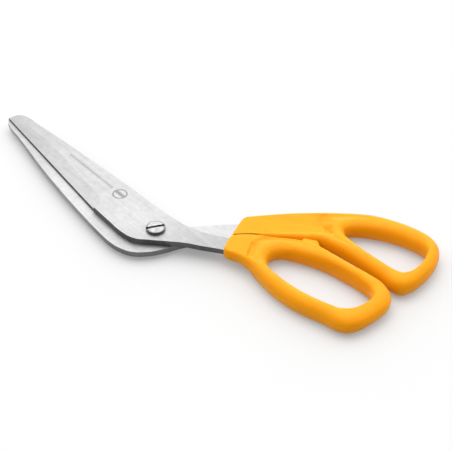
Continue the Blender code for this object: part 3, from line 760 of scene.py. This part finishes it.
THUMB_SECTIONS = [
    (0.0, 0.35, 2.0, 6.0, THUMB_NECK, THUMB_NECK_HALF, 5.4, 1.6, 5.4),
    (2.0, 0.6, 2.0, 6.0, MIDDLE - 0.9, 4.4, 5.4, 1.6, 4.7),
    (4.0, 1.1, 2.6, 5.6, MIDDLE - 0.5, 5.0, 5.5, 1.2, 4.6),
    (5.0, 1.7, 3.4, 5.2, MIDDLE, 5.8, 5.8, 0.5, 4.9),
    (7.0, 3.9, 4.6, 5.0, MIDDLE, LOOP_HALF, LOOP_HALF, 0.0, 7.0),
    (9.0, 6.0, 5.0, 3.6, MIDDLE, 5.9, 5.9, 0.0, 7.0),
    (11.0, 7.2, 5.4, 2.0, MIDDLE, 5.6, 5.6, 0.0, 7.0),
    (13.0, 9.0, 5.4, 1.8, MIDDLE, 5.6, 5.6, 0.0, 7.0),
    (15.0, 10.2, 5.4, 3.2, MIDDLE, 5.9, 5.9, 0.0, 7.0),
    (17.0, 12.2, 5.0, 5.4, MIDDLE, LOOP_HALF, LOOP_HALF, 0.0, 7.0),
    (19.0, 14.4, 4.4, 5.4, MIDDLE, 6.0, 6.0, 0.2, 8.0),
    (21.0, 15.9, 3.2, 5.6, MIDDLE - 0.4, 5.2, 5.7, 0.9, 16.0),
    (22.0, 16.3, 2.4, 5.8, MIDDLE - 0.9, 4.5, 5.5, 1.4, 13.8),
    (24.0, 16.7, 1.8, 6.0, THUMB_NECK, THUMB_NECK_HALF, 5.4, 1.6, 8.2),
    (27.0, 17.0, 1.8, 6.0, THUMB_NECK, THUMB_NECK_HALF, 5.4, 1.6, 5.4),
]

# The moulded closing stop on the finger handle. Closed, it stands about 0.5 mm clear of the thumb handle.
STOP_OUTLINE = [(-55.0, -61.2), (-61.2, -66.1), (-66.4, -64.2), (-62.0, -59.5), (-56.5, -58.0)]
STOP_BASE = 2.2
STOP_TOP = 10.8
STOP_ROUNDING = 0.7


def handle(name, outer, hole, sections, tang, base, body, plastic, stop=None):
    """A loft round the hole, between sections that are unlike at the neck and along the loop."""
    rings = [section_ring(outer, hole, sections, at) for at in stations(outer)]
    size = len(rings[0])
    points = [(x * MM, y * MM, z * MM) for ring in rings for x, y, z in ring]
    faces = []
    for ring in range(len(rings)):
        here, there = ring * size, (ring + 1) % len(rings) * size
        for corner in range(size):
            after = (corner + 1) % size
            faces.append((here + corner, here + after, there + after, there + corner))
    mesh = bpy.data.meshes.new(name)
    mesh.from_pydata(points, [], faces)
    weld(mesh)
    mesh.materials.append(plastic)
    made = new_object(name, mesh)
    if stop:
        lug = plate(name + "_stop", [(*point, "c") for point in stop], STOP_BASE, STOP_TOP)
        soften(lug, STOP_ROUNDING, 4)
        apply_all(lug)
        boolean(made, lug, "UNION")
    half = tang["width"] / 2 + GAP
    end = tang["length"] + GAP
    corners = [
        (-POCKET_LEAD, -half - tang["flare"] - POCKET_SPLAY),
        (0.0, -half - tang["flare"]),
        (FLARE_LENGTH, -half),
        (end, -half),
        (end, half),
        (-POCKET_LEAD, half),
    ]
    outline = [(*along(tang, distance, side), "c") for distance, side in corners]
    boolean(made, plate(name + "_pocket", outline, base - GAP, base + STOCK + GAP), "DIFFERENCE")
    mesh = apply_all(made)
    shade_round(mesh, PLASTIC_SHARP)
    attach(made, body)
    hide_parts(name.removesuffix("_plastic"))


# --- pivot ----------------------------------------------------------------------------------------

SLOT_ANGLE = -111.0
SLOT_SIZE = (14.0, 1.9, 2.2)
HEAD_CHAMFER = 0.9
HEAD_CROWN = 0.12  # how far the head's top rises from its rim to its middle
HEAD_FOOT = 0.2  # rounding at the foot of the head
HEAD_BASE = UPPER_TOP + 0.2
HEAD_SOFTENING = 0.09
THREAD_PITCH = 0.5
THREAD_DEPTH = 0.18
WASHER_ROUNDING = 0.1
SPRING_LIFT = 0.1  # how far the waves of the spring washer rise and fall
SPRING_ROUNDING = 0.05
WAVES = 3
NUT_SOFTENING = 0.06
NUT_BORE_GAP = 0.12


def arc(centre, radius, start, end, steps=6):
    """Points on an arc in the profile plane, in degrees anticlockwise from +radius."""
    angles = (math.radians(start + (end - start) * step / steps) for step in range(steps + 1))
    return [(centre[0] + radius * math.cos(a), centre[1] + radius * math.sin(a)) for a in angles]


def finish_metal(made, node, body, metal):
    made.data.materials.clear()
    made.data.materials.append(metal)
    shade_round(made.data)
    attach(made, body)
    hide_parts(node)


def pivot_screw(metal):
    crown = SCREW_TOP - HEAD_CROWN
    profile = [(0.0, SCREW_TOP), (2.2, SCREW_TOP - 0.03), (HEAD_R - HEAD_CHAMFER - 0.1, crown)]
    profile += arc((HEAD_R - HEAD_CHAMFER, crown - HEAD_CHAMFER), HEAD_CHAMFER, 80.0, 0.0, 8)
    profile += arc((HEAD_R - HEAD_FOOT, HEAD_BASE + HEAD_FOOT), HEAD_FOOT, 0.0, -90.0, 4)
    profile += [(SHANK_R + 0.15, HEAD_BASE), (SHANK_R, UPPER_TOP + 0.02)]
    level = WASHER_BASE
    while level > SCREW_BASE + 0.6:
        profile += [(SHANK_R, level), (SHANK_R - THREAD_DEPTH, level - THREAD_PITCH / 2)]
        level -= THREAD_PITCH
    profile += [(SHANK_R, level), (SHANK_R - 0.05, SCREW_BASE + 0.45), (SHANK_R - 0.45, SCREW_BASE)]
    profile += [(0.0, SCREW_BASE)]
    screw = turned("pivot_screw_steel", profile)
    mesh = bpy.data.meshes.new("slot")
    work = bmesh.new()
    bmesh.ops.create_cube(work, size=1.0)
    bmesh.ops.scale(work, verts=work.verts, vec=[size * MM for size in SLOT_SIZE])
    bmesh.ops.rotate(work, verts=work.verts, matrix=Matrix.Rotation(math.radians(SLOT_ANGLE), 3, "Z"))
    bmesh.ops.translate(work, verts=work.verts, vec=(0.0, 0.0, SCREW_TOP * MM))
    work.to_mesh(mesh)
    work.free()
    boolean(screw, new_object("slot", mesh, hidden), "DIFFERENCE")
    apply_all(screw)
    soften(screw, HEAD_SOFTENING, 2, 40.0)
    apply_all(screw)
    finish_metal(screw, "pivot_screw", "lower_half", metal)


def flat_washer(metal):
    bore = SHANK_R + GAP
    rim = WASHER_R - WASHER_ROUNDING
    profile = [(bore, WASHER_TOP)]
    profile += arc((rim, WASHER_TOP - WASHER_ROUNDING), WASHER_ROUNDING, 90.0, 0.0, 4)
    profile += arc((rim, WASHER_BASE + WASHER_ROUNDING), WASHER_ROUNDING, 0.0, -90.0, 4)
    profile += [(bore, WASHER_BASE)]
    made = turned("flat_washer_steel", profile, closed=True)
    finish_metal(made, "flat_washer", "lower_half", metal)


def spring_washer(metal):
    bore = SHANK_R + GAP
    base, top = SPRING_BASE + SPRING_LIFT, SPRING_TOP - SPRING_LIFT
    rim = SPRING_R - SPRING_ROUNDING
    profile = [(bore, top), (rim, top), (SPRING_R, top - SPRING_ROUNDING)]
    profile += [(SPRING_R, base + SPRING_ROUNDING), (rim, base), (bore, base)]
    made = turned("spring_washer_steel", profile, closed=True)
    for vertex in made.data.vertices:
        vertex.co.z += SPRING_LIFT * MM * math.cos(WAVES * math.atan2(vertex.co.y, vertex.co.x))
    finish_metal(made, "spring_washer", "lower_half", metal)


def pivot_nut(metal):
    """A thin hexagon nut: the prism is cut by a cone at both ends."""
    corner_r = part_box("pivot_nut")[1].x / MM
    flats_r = corner_r * math.cos(math.radians(30.0))
    nut = cylinder("pivot_nut_steel", corner_r, (0.0, 0.0), NUT_BASE, NUT_TOP, 6, shown)
    drop = (corner_r - flats_r) * math.tan(math.radians(30.0))
    profile = [
        (0.0, NUT_TOP + 0.01),
        (flats_r - 0.05, NUT_TOP + 0.01),
        (corner_r + 0.1, NUT_TOP - drop),
        (corner_r + 0.1, NUT_BASE + drop),
        (flats_r - 0.05, NUT_BASE - 0.01),
        (0.0, NUT_BASE - 0.01),
    ]
    boolean(nut, turned("cone", profile, holder=hidden), "INTERSECT")
    bore = cylinder("bore", SHANK_R + NUT_BORE_GAP, (0.0, 0.0), NUT_BASE - 1, NUT_TOP + 1)
    boolean(nut, bore, "DIFFERENCE")
    apply_all(nut)
    soften(nut, NUT_SOFTENING, 2, 25.0)
    apply_all(nut)
    finish_metal(nut, "pivot_nut", "lower_half", metal)


# --- stage ----------------------------------------------------------------------------------------

VIEW_AZIMUTH = 234.0
VIEW_ELEVATION = 39.5
VIEW_DISTANCE = 1.389
VIEW_TARGET = (-20.7, -33.2, UPPER_TOP)
LENS = 199.1
FLOOR_HALF = 4.0
FLOOR_DROP = 0.0001  # the floor lies this far under the screw's end
FLOOR_GLOW = 0.25  # the floor gives off a little light, which keeps it white and its shadows faint


def camera():
    azimuth, elevation = math.radians(VIEW_AZIMUTH), math.radians(VIEW_ELEVATION)
    looks = Vector((-math.sin(azimuth), math.cos(azimuth), 0.0)) * math.cos(elevation)
    looks.z = -math.sin(elevation)
    target = Vector(VIEW_TARGET) * MM
    data = bpy.data.cameras.new("camera")
    data.lens = LENS
    data.sensor_width = 36.0
    data.clip_start = 0.05
    made = bpy.data.objects.new("camera", data)
    made.location = target - looks * VIEW_DISTANCE
    made.rotation_euler = looks.to_track_quat("-Z", "Y").to_euler()
    bpy.context.scene.collection.objects.link(made)
    bpy.context.scene.camera = made


def floor():
    mesh = bpy.data.meshes.new("floor")
    work = bmesh.new()
    bmesh.ops.create_grid(work, x_segments=8, y_segments=8, size=FLOOR_HALF)
    work.to_mesh(mesh)
    work.free()
    made = new_object("floor", mesh)
    made.location.z = -FLOOR_DROP
    n = Nodes("floor")
    mesh.materials.append(
        n.surface(
            Base_Color=n.blend(n.noise(6.0), (0.35, 0.35, 0.35), (0.37, 0.37, 0.37)),
            Roughness=0.7,
            Specular_IOR_Level=0.2,
            Emission_Color=(1.0, 1.0, 1.0, 1.0),
            Emission_Strength=FLOOR_GLOW,
        )
    )


def softbox(name, place, aim, size, power):
    data = bpy.data.lights.new(name, "AREA")
    data.shape = "RECTANGLE"
    data.size, data.size_y = size
    data.energy = power
    made = bpy.data.objects.new(name, data)
    made.location = place
    made.rotation_euler = (Vector(aim) - Vector(place)).to_track_quat("-Z", "Y").to_euler()
    bpy.context.scene.collection.objects.link(made)


SKY_TOWARDS = (0.41, -0.26, 0.88)  # the studio's walls and ceiling are brightest in this direction
SKY_DARK = 0.03
SKY_BRIGHT = 2.15
SKY_FROM, SKY_TO = -0.25, 0.75  # cosines between which the studio goes from dark to bright
KEY_PLACE = (0.3, -0.23, 1.3)
KEY_AIM = (0.0, -0.03, 0.0)
KEY_SIZE = (1.2, 1.2)
KEY_POWER = 7.2


def lights():
    world = bpy.data.worlds.new("studio")
    world.use_nodes = True
    tree = world.node_tree
    background = tree.nodes["Background"]
    background.inputs["Color"].default_value = (1.0, 1.0, 1.0, 1.0)
    around = tree.nodes.new("ShaderNodeTexCoord")
    facing = tree.nodes.new("ShaderNodeVectorMath")
    facing.operation = "DOT_PRODUCT"
    facing.inputs[1].default_value = Vector(SKY_TOWARDS).normalized()
    shade = tree.nodes.new("ShaderNodeMapRange")
    shade.interpolation_type = "SMOOTHSTEP"
    limits = {"From Min": SKY_FROM, "From Max": SKY_TO, "To Min": SKY_DARK, "To Max": SKY_BRIGHT}
    for socket, value in limits.items():
        shade.inputs[socket].default_value = value
    tree.links.new(around.outputs["Generated"], facing.inputs[0])
    tree.links.new(facing.outputs["Value"], shade.inputs["Value"])
    tree.links.new(shade.outputs["Result"], background.inputs["Strength"])
    bpy.context.scene.world = world
    softbox("key", KEY_PLACE, KEY_AIM, KEY_SIZE, KEY_POWER)


def main():
    camera()
    plastic = plastic_material()
    bright = bright_material()
    plated = zinc_material()
    # The two faces are one steel. Their different levels and their neck and grind values are painted shade.
    upper_face = steel_face_material("upper_face", 0.352, neck_painted_shade=0.76, grind_painted_shade=0.92, marked=True)
    lower_face = steel_face_material("lower_face", 0.38, neck_painted_shade=0.92, grind_painted_shade=1.0, marked=False)
    # The two walls are one steel: their different tones, and the gain along the lower one, are painted light
    # and painted shade.
    upper_wall = steel_wall_material("upper_wall", 0.10, painted_light_gain=1.0)
    lower_wall = steel_wall_material("lower_wall", 0.16, painted_light_gain=2.0)
    blade("upper_blade_steel", UPPER_OUTLINE, UPPER_BASE, False, "upper_half", upper_face, upper_wall)
    blade("lower_blade_steel", LOWER_OUTLINE, LOWER_BASE, True, "lower_half", lower_face, lower_wall)
    finger = FINGER_OUTER, FINGER_HOLE, FINGER_SECTIONS
    thumb = THUMB_OUTER, THUMB_HOLE, THUMB_SECTIONS
    handle("finger_handle_plastic", *finger, UPPER_TANG, UPPER_BASE, "upper_half", plastic, STOP_OUTLINE)
    handle("thumb_handle_plastic", *thumb, LOWER_TANG, LOWER_BASE, "lower_half", plastic)
    pivot_screw(bright)
    flat_washer(plated)
    spring_washer(plated)
    pivot_nut(plated)
    floor()
    lights()
    bpy.context.scene.view_settings.view_transform = "Standard"


main()
